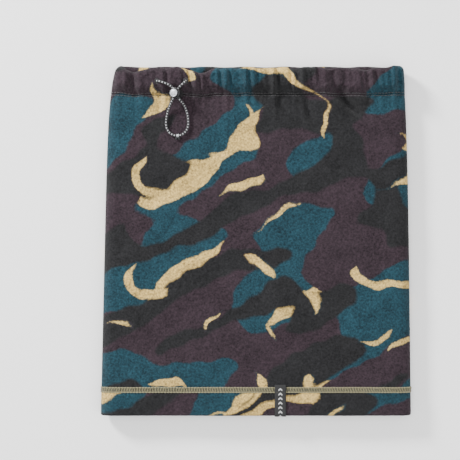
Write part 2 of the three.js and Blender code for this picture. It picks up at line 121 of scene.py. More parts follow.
# Folds in the front, each a depth, a half width and a run of points in millimetres. A negative depth
# stands up as a ridge.
FOLDS = [
    (2.2, 2.6, [(61, 139), (63, 128), (67, 119)]),
    (5.4, 3.6, [(64, 124), (68, 117), (76, 108), (86, 100), (100, 91)]),
    (-3.1, 5.0, [(52, 126), (58, 114), (67, 103), (79, 92)]),
    (-1.2, 5.0, [(75, 126), (84, 114), (95, 104)]),
    (2.4, 3.0, [(38, 120), (41, 108), (45, 97), (51, 86)]),
    (2.0, 2.8, [(18, 122), (20, 110), (25, 100), (31, 94)]),
    (1.8, 1.8, [(-20, 139), (-20, 130), (-17, 122), (-12, 115), (-8, 105)]),
    (1.0, 1.6, [(-14, 136), (-11, 128), (-9, 121)]),
    (1.4, 1.7, [(1, 139), (4, 128), (8, 121), (9, 113)]),
    (1.1, 1.6, [(17, 136), (18, 127), (22, 121)]),
    (0.9, 1.5, [(28, 135), (27, 126), (29, 120)]),
    (1.3, 1.7, [(49, 139), (50, 130), (48, 122)]),
    (1.0, 1.6, [(72, 139), (73, 130), (76, 121)]),
    (0.9, 1.6, [(84, 138), (86, 128), (85, 120)]),
    (1.3, 1.8, [(95, 138), (97, 130), (101, 122), (99, 114)]),
    (1.0, 1.8, [(108, 139), (109, 128), (107, 119)]),
    (1.7, 2.6, [(-100, 137), (-98, 128), (-97, 119)]),
    (-1.0, 2.0, [(-104, 139), (-104, 130), (-105, 122)]),
    (1.2, 2.6, [(-77, 122), (-76, 110), (-77, 98)]),
    (0.9, 2.0, [(-88, 135), (-87, 127), (-89, 120)]),
    (1.2, 2.4, [(-50, 126), (-47, 121), (-49, 112)]),
    (0.9, 2.0, [(-34, 136), (-33, 127), (-35, 120)]),
    (0.9, 5.0, [(66, 60), (70, 42), (76, 24)]),
    (-0.7, 8.0, [(-100, 60), (-96, 0), (-100, -60)]),
    (0.6, 8.0, [(-30, -20), (-20, -60), (-26, -100)]),
]

# Waves of the gathers across the tube: wavelength and height in millimetres, and phase.
GATHERS = [(13.1, 0.9, 0.3), (8.3, 1.0, 1.9), (5.9, 0.75, 4.1), (21.0, 0.7, 2.6), (4.1, 0.35, 0.8)]
SOFT_WAVES = [(97, 61, 0.5, 0.2), (53, 88, 0.35, 1.7), (41, 37, 0.22, 3.9), (140, 45, 0.4, 5.1)]
TUFT_HEIGHT = 0.24
TUFT_SPACING = 1.35
TUFT_COUNT = 256
FOLD_STRENGTH = 1.35
SEAM_DENT = 0.5  # how far a seam pulls the cloth in, in millimetres
HEM_SEAM_SPREAD, CASING_SEAM_SPREAD = 3.2, 1.8
TUFTS = np.random.default_rng(11).normal(size=(TUFT_COUNT, TUFT_COUNT))


def tuft_height(x, y):
    """A fixed field of small random heights, blended between its points."""
    n = TUFT_COUNT
    u, v = x / TUFT_SPACING + n / 2, y / TUFT_SPACING + n / 2
    i, j = np.floor(u).astype(int), np.floor(v).astype(int)
    fu, fv = u - i, v - j
    low = TUFTS[i % n, j % n] * (1 - fu) + TUFTS[(i + 1) % n, j % n] * fu
    high = TUFTS[i % n, (j + 1) % n] * (1 - fu) + TUFTS[(i + 1) % n, (j + 1) % n] * fu
    return TUFT_HEIGHT * (low * (1 - fv) + high * fv)


def distance_to_run(x, y, points):
    """Distance from each place to a run of points, and how far along the run it falls, from 0 to 1."""
    best = np.full(x.shape, 1e9)
    along = np.zeros(x.shape)
    spans = len(points) - 1
    for i in range(spans):
        (ax, ay), (bx, by) = points[i], points[i + 1]
        dx, dy = bx - ax, by - ay
        t = np.clip(((x - ax) * dx + (y - ay) * dy) / (dx * dx + dy * dy), 0, 1)
        d = np.hypot(x - ax - t * dx, y - ay - t * dy)
        near = d < best
        best = np.where(near, d, best)
        along = np.where(near, (i + t) / spans, along)
    return best, along


def gather_height(x, y):
    """Height of the gathers, strongest in the casing, and fading down the panel."""
    total = np.zeros(x.shape)
    lean = 2.2 * np.sin(x / 23) + 0.05 * (y - CASING_JOINT / MM)
    for wavelength, height, phase in GATHERS:
        total += height * np.sin(2 * math.pi * (x + lean) / wavelength + phase + 0.7 * np.sin(x / 31 + phase))
    above = y - CASING_JOINT / MM
    casing = np.where(above > 0, 1.0, np.exp(above / 9))
    pinch = 1 - 0.45 * bell(above, 2.2)
    patch = 0.75 + 0.35 * np.sin(x / 17 + 1) * np.sin(x / 43)
    return total * casing * pinch * patch


def cloth_lift(face, x, y):
    """How far the cloth's surface stands in from (+) or out of (-) its plain shape, in metres."""
    x, y = x / MM, y / MM
    rise = gather_height(x if face == "front" else x + 6, y)
    for across, along, height, phase in SOFT_WAVES:
        wave = np.sin(2 * math.pi * x / across + phase)
        rise += height * wave * np.sin(2 * math.pi * y / along + 2 * phase)
    if face == "front":
        for depth, width, run in FOLDS:
            d, t = distance_to_run(x, y, run)
            fade = ease((1 - t) / 0.55) * ease(0.35 + t / 0.1)
            rise -= FOLD_STRENGTH * depth * fade * bell(d, width)
    puff = 0.35 * np.sin(2 * math.pi * (y - HEM_EDGE / MM) / 40)
    rise += np.where(y < HEM_JOINT / MM, puff * 0.5, 0)
    rise -= SEAM_DENT * bell(y - HEM_JOINT / MM, HEM_SEAM_SPREAD)
    rise -= SEAM_DENT * bell(y - CASING_JOINT / MM, CASING_SEAM_SPREAD)
    rise += tuft_height(x, y)
    if face == "back":
        rise = np.minimum(rise, 0) * 0.6 - 0.1
    return rise * MM


# Dips in the front's mouth edge, each a depth, a place and a half width in millimetres.
MOUTH_DIPS = [(2.8, -96, 9), (3.6, -45, 11), (-0.8, -66, 8), (-0.7, 45, 7), (1.0, 88, 12)]


def mouth_dip(x):
    """How much lower the front's mouth edge lies than the back's, in metres."""
    x = x / MM
    dip = 2.2 * ease((x + 118) / 12) * ease((115 - x) / 18)
    for depth, place, width in MOUTH_DIPS:
        dip += depth * bell(x - place, width)
    dip += 0.5 * np.sin(x / 4.1) + 0.35 * np.sin(x / 2.3 + 1)
    return dip * MM


def cloth_point(face, fold, share, y, depth):
    """Points of the cloth. fold is -1 on the left fold, 1 on the right and 0 on the flat, and share runs
    over it."""
    height = tube_height(y)
    rise = height / 2 - SEAM_GAP / 2 - depth
    reach = FOLD_RADIUS - depth
    left, right = flat_edges(y)
    angle = share * math.pi / 2
    x = np.where(fold == 0, left + (right - left) * share, 0.0)
    x = np.where(fold < 0, left - reach * np.cos(angle), x)
    x = np.where(fold > 0, right + reach * np.cos(angle), x)
    lift = np.where(fold == 0, rise, rise * np.sin(angle))
    steep = np.where(fold == 0, 1.0, np.sin(angle) ** 2)
    lift = lift + cloth_lift(face, x, y) * steep
    z = height / 2 + SEAM_GAP / 2 + lift if face == "front" else height / 2 - SEAM_GAP / 2 - lift
    if face == "front":
        shift = mouth_dip(x) * ease((y / MM - 104) / (MOUTH / MM - 104)) * (0.35 + 0.65 * steep)
        y = y - shift
    else:
        z = np.maximum(z, depth)
        y = y - 0.35 * MM * (np.sin(x / MM / 5.1) + 1) * ease((y / MM - 120) / 20)
    return np.stack([x, y, z], axis=-1)


def stations(flat_step, fold_steps):
    """Stations across one face of the tube, as arrays of fold and share."""
    flat_steps = int(2 * (HEM_HALF_WIDTH - FOLD_RADIUS) / flat_step)
    turn = np.linspace(0, 1, fold_steps + 1)
    flat = np.linspace(0, 1, flat_steps + 1)[1:-1]
    fold = np.concatenate([-np.ones(len(turn)), np.zeros(len(flat)), np.ones(len(turn))])
    return fold, np.concatenate([turn, flat, turn[::-1]])


# ---- Mesh helpers ----
def make_mesh(name, points, faces):
    mesh = bpy.data.meshes.new(name)
    mesh.from_pydata([tuple(p) for p in points], [], [tuple(f) for f in faces])
    made = bmesh.new()
    made.from_mesh(mesh)
    bmesh.ops.recalc_face_normals(made, faces=made.faces)
    made.to_mesh(mesh)
    made.free()
    mesh.shade_smooth()
    piece = bpy.data.objects.new(name, mesh)
    SCENE.collection.objects.link(piece)
    return piece


def add_values(piece, name, values):
    """A number, or three, for each vertex of a mesh."""
    kind = "FLOAT_VECTOR" if values.ndim == 2 else "FLOAT"
    layer = piece.data.attributes.new(name, kind, "POINT")
    layer.data.foreach_set("vector" if values.ndim == 2 else "value", values.astype(np.float32).ravel())


def ring_faces(rings, count):
    """Faces between rows of rings, each of count points."""
    faces = []
    for i in range(rings - 1):
        for j in range(count):
            k = (j + 1) % count
            faces.append((i * count + j, i * count + k, (i + 1) * count + k, (i + 1) * count + j))
    return faces


def strip_faces(rings, count):
    """Faces of a strip whose rings run up one side and back down the other, with both ends filled."""
    faces = ring_faces(rings, count)
    for base in (0, (rings - 1) * count):
        for i in range(count // 2 - 1):
            faces.append((base + i, base + i + 1, base + count - 2 - i, base + count - 1 - i))
    return faces


def frames_along(path):
    """A tangent and two normals at each point of a path, turning as little as they can."""
    path = np.asarray(path, float)
    tangent = np.gradient(path, axis=0)
    tangent /= np.linalg.norm(tangent, axis=1)[:, None]
    first = np.cross(tangent[0], (0.0, 0.0, 1.0))
    if np.linalg.norm(first) < 1e-3:
        first = np.cross(tangent[0], (1.0, 0.0, 0.0))
    normals = [first / np.linalg.norm(first)]
    for t in tangent[1:]:
        n = normals[-1] - t * np.dot(normals[-1], t)
        normals.append(n / np.linalg.norm(n))
    normals = np.array(normals)
    return tangent, normals, np.cross(tangent, normals)


def tube(path, radii, sides):
    """Points and faces of a closed round tube. radii is one number, or one for each point."""
    path = np.asarray(path, float)
    radii = np.broadcast_to(np.asarray(radii, float), (len(path),))
    _, a, b = frames_along(path)
    angle = np.linspace(0, 2 * math.pi, sides, endpoint=False)
    ring = a[:, None, :] * np.cos(angle)[None, :, None] + b[:, None, :] * np.sin(angle)[None, :, None]
    points = (path[:, None, :] + ring * radii[:, None, None]).reshape(-1, 3)
    faces = ring_faces(len(path), sides)
    faces.append(tuple(range(sides))[::-1])
    faces.append(tuple((len(path) - 1) * sides + i for i in range(sides)))
    return points, faces


def join_parts(name, parts):
    """One mesh from several lists of points and faces."""
    points, faces = [], []
    for p, f in parts:
        base = len(points)
        points.extend(map(tuple, p))
        faces.extend(tuple(base + i for i in face) for face in f)
    return make_mesh(name, points, faces)


def distances(path):
    """How far along a path each of its points lies."""
    return np.concatenate([[0], np.cumsum(np.linalg.norm(np.diff(path, axis=0), axis=1))])


def resample(path, step):
    """Points at even steps along a path."""
    run = distances(path)
    even = np.linspace(0, run[-1], int(run[-1] / step) + 1)
    return np.stack([np.interp(even, run, path[:, k]) for k in range(3)], axis=1)


def smooth_path(points, step):
    """A curve through the points, sampled evenly, and its length."""
    p = np.asarray(points, float)
    padded = np.vstack([2 * p[0] - p[1], p, 2 * p[-1] - p[-2]])
    out = []
    for i in range(1, len(padded) - 2):
        a, b, c, d = padded[i - 1 : i + 3]
        for t in np.linspace(0, 1, 24, endpoint=False):
            square, cube = 2 * a - 5 * b + 4 * c - d, 3 * b - a - 3 * c + d
            out.append(0.5 * (2 * b + (c - a) * t + square * t**2 + cube * t**3))
    out.append(p[-1])
    out = np.array(out)
    return resample(out, step), distances(out)[-1]


def lathe(profile, sides):
    """Points and faces of a turned shape round Z. The profile starts and ends on the axis."""
    rings = []
    angle = np.linspace(0, 2 * math.pi, sides, endpoint=False)
    for radius, height in profile[1:-1]:
        ring = [radius * np.cos(angle), radius * np.sin(angle), np.full(sides, height)]
        rings.append(np.stack(ring, axis=1))
    points = np.vstack([*rings, [[0, 0, profile[0][1]]], [[0, 0, profile[-1][1]]]])
    faces = ring_faces(len(rings), sides)
    bottom, top = len(points) - 2, len(points) - 1
    last = (len(rings) - 1) * sides
    for j in range(sides):
        k = (j + 1) % sides
        faces.append((bottom, k, j))
        faces.append((top, last + j, last + k))
    return points, faces


CORNER_STEPS = 4


def rounded(profile, radius):
    """A profile with its corners, apart from those on the axis, turned into arcs."""
    out = [profile[0]]
    for before, corner, after in zip(profile, profile[1:], profile[2:]):
        c = np.array(corner)
        u, v = np.array(before) - c, np.array(after) - c
        reach = min(radius, 0.45 * np.linalg.norm(u), 0.45 * np.linalg.norm(v))
        a, b = c + u / np.linalg.norm(u) * reach, c + v / np.linalg.norm(v) * reach
        for t in np.linspace(0, 1, CORNER_STEPS):
            out.append(tuple((1 - t) ** 2 * a + 2 * t * (1 - t) * c + t**2 * b))
    out.append(profile[-1])
    return out


def stand_for(piece, material, body, node):
    """Dresses a piece with a material, puts it on its body, and hides the CAD node it stands in place of."""
    piece.data.materials.append(material)
    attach(piece, body)
    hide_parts(node)


# ---- Camera ----
VIEW_WIDTH = 368 * MM
VIEW_CENTRE = (-20.8 * MM, 8.8 * MM)
LENS = 120
SENSOR = 36


def make_camera():
    data = bpy.data.cameras.new("camera")
    data.lens = LENS
    data.sensor_width = SENSOR
    camera = bpy.data.objects.new("camera", data)
    distance = VIEW_WIDTH * LENS / SENSOR
    camera.location = (*VIEW_CENTRE, BODY_HEIGHT + distance)
    SCENE.collection.objects.link(camera)
    SCENE.camera = camera


make_camera()

# ---- Node groups shared by materials ----
def new_group(name, inputs, outputs):
    group = bpy.data.node_groups.new(name, "ShaderNodeTree")
    for label, kind, value in inputs:
        socket = group.interface.new_socket(label, in_out="INPUT", socket_type=kind)
        if value is not None:
            socket.default_value = value
    for label, kind in outputs:
        group.interface.new_socket(label, in_out="OUTPUT", socket_type=kind)
    return group, group.nodes.new("NodeGroupInput"), group.nodes.new("NodeGroupOutput")


def feed(tree, socket, value):
    """Sets an input to a number or a colour, or links it to an output."""
    if isinstance(value, (int, float)):
        socket.default_value = value
    elif isinstance(value, tuple):
        socket.default_value = (*value, 1)
    else:
        tree.links.new(value, socket)


def math_node(tree, operation, *values):
    node = tree.nodes.new("ShaderNodeMath")
    node.operation = operation
    for socket, value in zip(node.inputs, values):
        feed(tree, socket, value)
    return node.outputs[0]


def plus(tree, a, b):
    return math_node(tree, "ADD", a, b)


def times(tree, a, b):
    return math_node(tree, "MULTIPLY", a, b)


def ripple(tree, value, rate):
    return math_node(tree, "SINE", times(tree, value, rate))


def mix_colour(tree, factor, a, b, blend="MIX"):
    node = tree.nodes.new("ShaderNodeMix")
    node.data_type = "RGBA"
    node.blend_type = blend
    for index, value in ((0, factor), (6, a), (7, b)):
        feed(tree, node.inputs[index], value)
    return node.outputs[2]


def noise(tree, place, scale, detail=2.0, roughness=0.5, distortion=0.0):
    node = tree.nodes.new("ShaderNodeTexNoise")
    labels = ("Vector", "Scale", "Detail", "Roughness", "Distortion")
    for label, value in zip(labels, (place, scale, detail, roughness, distortion)):
        feed(tree, node.inputs[label], value)
    return node.outputs["Fac"]


def read_values(tree, name):
    """What add_values has laid on a mesh."""
    node = tree.nodes.new("ShaderNodeAttribute")
    node.attribute_name = name
    return node.outputs


def split(tree, place):
    node = tree.nodes.new("ShaderNodeSeparateXYZ")
    tree.links.new(place, node.inputs[0])
    return node.outputs


def object_place(tree):
    return tree.nodes.new("ShaderNodeTexCoord").outputs["Object"]


def remap(tree, value, low, high, to_low=0.0, to_high=1.0):
    node = tree.nodes.new("ShaderNodeMapRange")
    labels = ("Value", "From Min", "From Max", "To Min", "To Max")
    for label, given in zip(labels, (value, low, high, to_low, to_high)):
        feed(tree, node.inputs[label], given)
    return node.outputs["Result"]


def pile_group():
    """Short brushed fibres: painted light and shade that varies from tuft to tuft, lighter on the tufts' tops
    and darker in their hollows, with a little slow random tone, and a height.
    """
    group, inside, outside = new_group(
        "fleece_pile",
        [("Place", "NodeSocketVector", None), ("Tuft", "NodeSocketFloat", 900.0)],
        [("Shade", "NodeSocketFloat"), ("Height", "NodeSocketFloat")],
    )
    place, size = inside.outputs["Place"], inside.outputs["Tuft"]
    tufts = noise(group, place, size, 3.0, 0.65)
    fibres = noise(group, place, times(group, size, 2.7), distortion=1.2)
    patches = noise(group, place, 60, 3.0, 0.6)
    height = plus(group, times(group, tufts, 0.65), times(group, fibres, 0.35))
    # Painted light and shade: mostly the tufts' height, which also drives the bump, with slow random patches
    # for the rest.
    shade = plus(group, times(group, height, 0.8), times(group, patches, 0.2))
    group.links.new(remap(group, shade, 0.36, 0.64), outside.inputs["Shade"])
    group.links.new(height, outside.inputs["Height"])
    return group


def print_group():
    """Four dyes of the print, chosen by how deep a place lies in each colour's patches."""
    dyes = [("Khaki", KHAKI), ("Teal", TEAL), ("Plum", PLUM), ("Charcoal", CHARCOAL)]
    group, inside, outside = new_group(
        "patch_print",
        [("Place", "NodeSocketVector", None)] + [(n, "NodeSocketColor", (*c, 1)) for n, c in dyes],
        [("Color", "NodeSocketColor")],
    )
    depths = split(group, read_values(group, "print")["Vector"])
    ragged = math_node(group, "SUBTRACT", noise(group, inside.outputs["Place"], 420, 4.0, 0.75), 0.5)
    ragged = times(group, ragged, 3.2)
    colour = inside.outputs["Khaki"]
    layers = (("X", "Teal", 0.5, 0.6), ("Y", "Plum", 0.2, 0.7), ("Z", "Charcoal", 0.0, 1.1))
    for axis, name, spread, softness in layers:
        depth = plus(group, plus(group, depths[axis], ragged), spread)
        mask = remap(group, depth, -softness, softness)
        colour = mix_colour(group, mask, colour, inside.outputs[name])
    group.links.new(colour, outside.inputs["Color"])
    return group


def wear_group():
    """Faint handling marks: a slow change of roughness and a light scuff mask."""
    group, inside, outside = new_group(
        "handling",
        [("Place", "NodeSocketVector", None), ("Scale", "NodeSocketFloat", 500.0)],
        [("Scuff", "NodeSocketFloat"), ("Height", "NodeSocketFloat")],
    )
    marks = noise(group, inside.outputs["Place"], inside.outputs["Scale"], 5.0)
    group.links.new(remap(group, marks, 0.45, 0.75), outside.inputs["Scuff"])
    group.links.new(marks, outside.inputs["Height"])
    return group


# Dyes and finishes, as linear colours.
KHAKI = (0.41, 0.285, 0.098)
TEAL = (0.0078, 0.0295, 0.0415)
PLUM = (0.0215, 0.0138, 0.0185)
CHARCOAL = (0.0108, 0.0108, 0.0118)
PALE_THREAD = (0.19, 0.172, 0.085)
DARK_THREAD = (0.010, 0.009, 0.0105)
CORD_BLACK = (0.007, 0.007, 0.008)
TRACER_WHITE = (0.40, 0.40, 0.42)

PILE = pile_group()
PRINT = print_group()
HANDLING = wear_group()


def new_material(name, roughness, **constants):
    material = bpy.data.materials.new(name)
    material.use_nodes = True
    tree = material.node_tree
    shader = tree.nodes["Principled BSDF"]
    shader.inputs["Roughness"].default_value = roughness
    for label, value in constants.items():
        shader.inputs[label.replace("_", " ")].default_value = value
    return material, tree, shader


def place_group(tree, group, **values):
    node = tree.nodes.new("ShaderNodeGroup")
    node.node_tree = group
    tree.links.new(object_place(tree), node.inputs["Place"])
    for label, value in values.items():
        node.inputs[label].default_value = value
    return node


def add_bump(tree, shader, height, strength, distance):
    bump = tree.nodes.new("ShaderNodeBump")
    bump.inputs["Strength"].default_value = strength
    bump.inputs["Distance"].default_value = distance
    tree.links.new(height, bump.inputs["Height"])
    tree.links.new(bump.outputs["Normal"], shader.inputs["Normal"])


def fleece_material():
    material, tree, shader = new_material("printed fleece", 0.98, Sheen_Weight=0.05, Sheen_Roughness=0.7)
    shader.inputs["Specular IOR Level"].default_value = 0.03
    pile = place_group(tree, PILE, Tuft=620.0)
    dyed = place_group(tree, PRINT)
    # Painted light and shade on the pile: a darkened copy of the print for the tufts' hollows and a lightened
    # copy for their tops, mixed by the pile's painted Shade.
    deep = mix_colour(tree, 1.0, dyed.outputs["Color"], (0.3, 0.3, 0.31), "MULTIPLY")
    bright = mix_colour(tree, 1.0, dyed.outputs["Color"], (1.75, 1.75, 1.72), "MULTIPLY")
    colour = mix_colour(tree, pile.outputs["Shade"], deep, bright)
    tree.links.new(colour, shader.inputs["Base Color"])
    add_bump(tree, shader, pile.outputs["Height"], 0.9, 0.9 * MM)
    return material


def shade_of(colour, share):
    return tuple(share * c for c in colour)


def thread_material(name, colour, twist):
    """Twisted sewing thread: fine slanting plies, with painted light and shade on them, and near-black
    painted shade where a mesh marks it.
    """
    material, tree, shader = new_material(name, 0.7, Sheen_Weight=0.2)
    place = object_place(tree)
    wave = tree.nodes.new("ShaderNodeTexWave")
    wave.bands_direction = "DIAGONAL"
    wave.inputs["Scale"].default_value = twist
    wave.inputs["Distortion"].default_value = 1.5
    tree.links.new(place, wave.inputs["Vector"])
    # Painted light and shade on the plies: a darker copy of the thread colour in their grooves and a lighter
    # copy on their crowns, set by the wave that also drives the bump.
    shade = mix_colour(tree, wave.outputs["Fac"], shade_of(colour, 0.6), shade_of(colour, 1.15))
    # Painted shade: where the vertex mark is set, on the under-threads, the colour drops to near-black,
    # standing in for the shade under the looper's passes.
    shade = mix_colour(tree, read_values(tree, "painted_shade")["Fac"], shade, shade_of(colour, 0.07))
    fuzz = noise(tree, place, 1500, 2.0)
    fuzzy = mix_colour(tree, remap(tree, fuzz, 0.3, 0.7, 0.0, 0.3), shade, shade_of(colour, 1.5))
    tree.links.new(fuzzy, shader.inputs["Base Color"])
    add_bump(tree, shader, wave.outputs["Fac"], 0.5, 0.1 * MM)
    return material


BRAID_PITCH = 2.3  # in millimetres
FLECK_LENGTH, FLECK_WIDTH = 0.34, 0.15  # as shares of the pitch, and of half the way round


def cord_material():
    """Braided elastic: black yarns, with painted light and shade on their crowns and gaps, and white tracers
    that show as flecks along it.
    """
    material, tree, shader = new_material("braided elastic", 0.65, Sheen_Weight=0.15)
    along, around = [read_values(tree, name)["Fac"] for name in ("along", "around")]
    turns = math_node(tree, "DIVIDE", along, BRAID_PITCH)
    one = plus(tree, turns, around)
    two = math_node(tree, "SUBTRACT", turns, around)
    halves = times(tree, around, 2)
    stagger = times(tree, math_node(tree, "FLOOR", halves), 0.5)
    beat = math_node(tree, "FRACT", plus(tree, turns, stagger))
    off = math_node(tree, "ABSOLUTE", math_node(tree, "SUBTRACT", math_node(tree, "FRACT", halves), 0.5))
    in_length = math_node(tree, "LESS_THAN", beat, FLECK_LENGTH)
    in_width = math_node(tree, "LESS_THAN", off, FLECK_WIDTH)
    fleck = times(tree, in_length, in_width)
    height = times(tree, ripple(tree, one, 8 * math.pi), ripple(tree, two, 8 * math.pi))
    weave = remap(tree, height, -1, 1)
    # Painted light and shade on the braid: a darker copy of the black in the gaps between the yarns and a
    # lighter copy on their crowns, set by the height that also drives the bump.
    yarn = mix_colour(tree, weave, shade_of(CORD_BLACK, 0.6), shade_of(CORD_BLACK, 2.4))
    tree.links.new(mix_colour(tree, fleck, yarn, TRACER_WHITE), shader.inputs["Base Color"])
    add_bump(tree, shader, height, 0.7, 0.12 * MM)
    return material


def moulded_material(name, colour, roughness, metallic=0.0, coat=0.0):
    """Moulded plastic, or a metallised face: fine grain, and scuffs in noise-set patches, a little brighter
    and rougher.
    """
    material, tree, shader = new_material(name, roughness, Metallic=metallic, Coat_Weight=coat)
    marks = place_group(tree, HANDLING, Scale=900.0)
    worn = mix_colour(tree, marks.outputs["Scuff"], colour, tuple(min(1.0, 1.25 * c + 0.012) for c in colour))
    tree.links.new(worn, shader.inputs["Base Color"])
    rough = remap(tree, marks.outputs["Scuff"], 0, 1, roughness, min(1.0, roughness + 0.18))
    tree.links.new(rough, shader.inputs["Roughness"])
    add_bump(tree, shader, marks.outputs["Height"], 0.15, 0.05 * MM)
    return material


def label_material():
    """Damask-woven tape: fine ribs, with a row of pale woven chevrons down the middle."""
    material, tree, shader = new_material("woven label", 0.8, Sheen_Weight=0.03)
    place = split(tree, object_place(tree))
    off = math_node(tree, "ABSOLUTE", math_node(tree, "SUBTRACT", place["X"], LABEL_X))
    run = plus(tree, place["Y"], times(tree, off, 0.8))
    beat = math_node(tree, "FRACT", math_node(tree, "DIVIDE", run, 3.6 * MM))
    stripe = math_node(tree, "LESS_THAN", beat, 0.34)
    middle = math_node(tree, "LESS_THAN", off, 1.5 * MM)
    low = math_node(tree, "LESS_THAN", place["Y"], -116.5 * MM)
    mark = times(tree, times(tree, stripe, middle), low)
    ribs = ripple(tree, place["Y"], 2 * math.pi / (0.45 * MM))
    weave = times(tree, ribs, ripple(tree, place["X"], 2 * math.pi / (0.35 * MM)))
    share = remap(tree, weave, -1, 1)
    # Painted light and shade on the weave: the ground and the chevrons each run from a darker copy in the
    # gaps to a lighter copy on the crossings, set by the height that also drives the bump.
    ground = mix_colour(tree, share, (0.004, 0.004, 0.0045), (0.012, 0.012, 0.013))
    pale = mix_colour(tree, share, (0.3, 0.3, 0.3), (0.6, 0.6, 0.6))
    tree.links.new(mix_colour(tree, mark, ground, pale), shader.inputs["Base Color"])
    add_bump(tree, shader, weave, 0.5, 0.08 * MM)
    return material


# ---- Print ----
# A plain woodland camouflage made from fixed random waves. Each dye has a field of waves, longer along a
# shared lean than across it, and covers the places where its field stands over a level.
PRINT_DRAW = np.random.default_rng(7)
PRINT_LEAN = math.radians(24)
PRINT_WAVES = 20
DEEPEST = 6.0
DYE_PATCHES = [(160, 88, -0.95), (150, 80, -0.05), (160, 52, 0.56)]  # longest and shortest patch, and level
GAP_PATCHES = [(150, 72), (105, 75)]
GAP_WIDTH = 4.0  # the widest bare gap between dyes, in millimetres
LEAST_SLOPE = 0.03
FACE_SHIFT = {"front": (0, 0), "back": (410, 330)}
HEM_SHIFT = (150, 520)


def make_field(longest, shortest):
    """Waves and phases whose sum is a smooth random field."""
    turn = PRINT_DRAW.uniform(0, 2 * math.pi, PRINT_WAVES)
    size = PRINT_DRAW.uniform(0.75, 1.7, PRINT_WAVES)
    along, across = size * np.cos(turn) / longest, size * np.sin(turn) / shortest
    c, s = math.cos(PRINT_LEAN), math.sin(PRINT_LEAN)
    phase = PRINT_DRAW.uniform(0, 2 * math.pi, PRINT_WAVES)
    return 2 * math.pi * (along * c - across * s), 2 * math.pi * (along * s + across * c), phase


def read_field(x, y, field):
    """A field's value at each place, and how steep it is there."""
    wave_x, wave_y, phase = field
    angle = x[:, None] * wave_x + y[:, None] * wave_y + phase
    scale = math.sqrt(2 / PRINT_WAVES)
    slope = scale * np.hypot((np.sin(angle) * wave_x).sum(axis=1), (np.sin(angle) * wave_y).sum(axis=1))
    return scale * np.cos(angle).sum(axis=1), np.maximum(slope, LEAST_SLOPE)


DYE_FIELDS = [make_field(longest, shortest) for longest, shortest, _ in DYE_PATCHES]
GAP_LINE, GAP_SPREAD = [make_field(*size) for size in GAP_PATCHES]


def print_depths(x, y):
    """How deep each place lies in the teal, plum and charcoal patches, in millimetres."""
    ragged_x = x + 1.6 * np.sin(y / 6.3) + 0.9 * np.sin(y / 2.7 + x / 7)
    ragged_y = y + 1.3 * np.sin(x / 7.1 + 1) + 0.8 * np.sin(x / 3.1 + y / 8)
    depths = []
    for (_, _, level), field in zip(DYE_PATCHES, DYE_FIELDS):
        value, slope = read_field(ragged_x, ragged_y, field)
        depths.append((value - level) / slope)
    line, slope = read_field(ragged_x, ragged_y, GAP_LINE)
    spread, _ = read_field(ragged_x, ragged_y, GAP_SPREAD)
    gap = GAP_WIDTH * np.clip(1.3 * spread - 0.35, -1, 1) - np.abs(line) / slope
    return np.clip(np.minimum(np.stack(depths, axis=1), -gap[:, None]), -DEEPEST, DEEPEST)


def lay_print(piece, face, flat):
    shift_x, shift_y = FACE_SHIFT[face]
    if "hem" in piece.name:
        shift_x, shift_y = shift_x + HEM_SHIFT[0], shift_y + HEM_SHIFT[1]
    add_values(piece, "print", print_depths(flat[:, 0] / MM + shift_x, flat[:, 1] / MM + shift_y))


# ---- Cloth pieces ----
def cloth_piece(name, face, outline, flat_step, fold_steps):
    """A closed piece of cloth whose outline, in y and depth, is carried across one face of the tube."""
    fold, share = stations(flat_step, fold_steps)
    y, depth = np.array(outline, float).T
    fold, share = fold[:, None], share[:, None]
    y, depth = y[None, :], depth[None, :]
    fold, share, y, depth = np.broadcast_arrays(fold, share, y, depth)
    points = cloth_point(face, fold, share, y, depth)
    piece = make_mesh(name, points.reshape(-1, 3), strip_faces(*points.shape[:2]))
    left, right = flat_edges(y)
    unrolled = FOLD_RADIUS * (1 - share) * 1.2
    on_fold = np.where(fold < 0, left - unrolled, right + unrolled)
    flat_x = np.where(fold == 0, left + (right - left) * share, on_fold)
    lay_print(piece, face, np.stack([flat_x, y], axis=-1).reshape(-1, 2))
    return piece


def slab(low, high, step, thickness, edge):
    """Outline of a plain layer: up its outer side and back down its inner side, with softened edges."""
    y = np.linspace(low + edge, high - edge, max(3, int((high - low) / step)))
    outer = [(low, edge), (low + 0.3 * edge, 0.3 * edge)] + [(v, 0) for v in y]
    outer += [(high - 0.3 * edge, 0.3 * edge), (high, edge)]
    return outer + [(v, thickness - d) for v, d in outer[::-1]]


def panel_outline():
    return slab(HEM_JOINT + 0.15 * MM, CASING_JOINT - 0.1 * MM, 1.35 * MM, FLEECE, 0.4 * MM)


def hem_outline():
    return slab(HEM_EDGE, HEM_JOINT - 0.15 * MM, 1.0 * MM, HEM_CLOTH, 1.1 * MM)


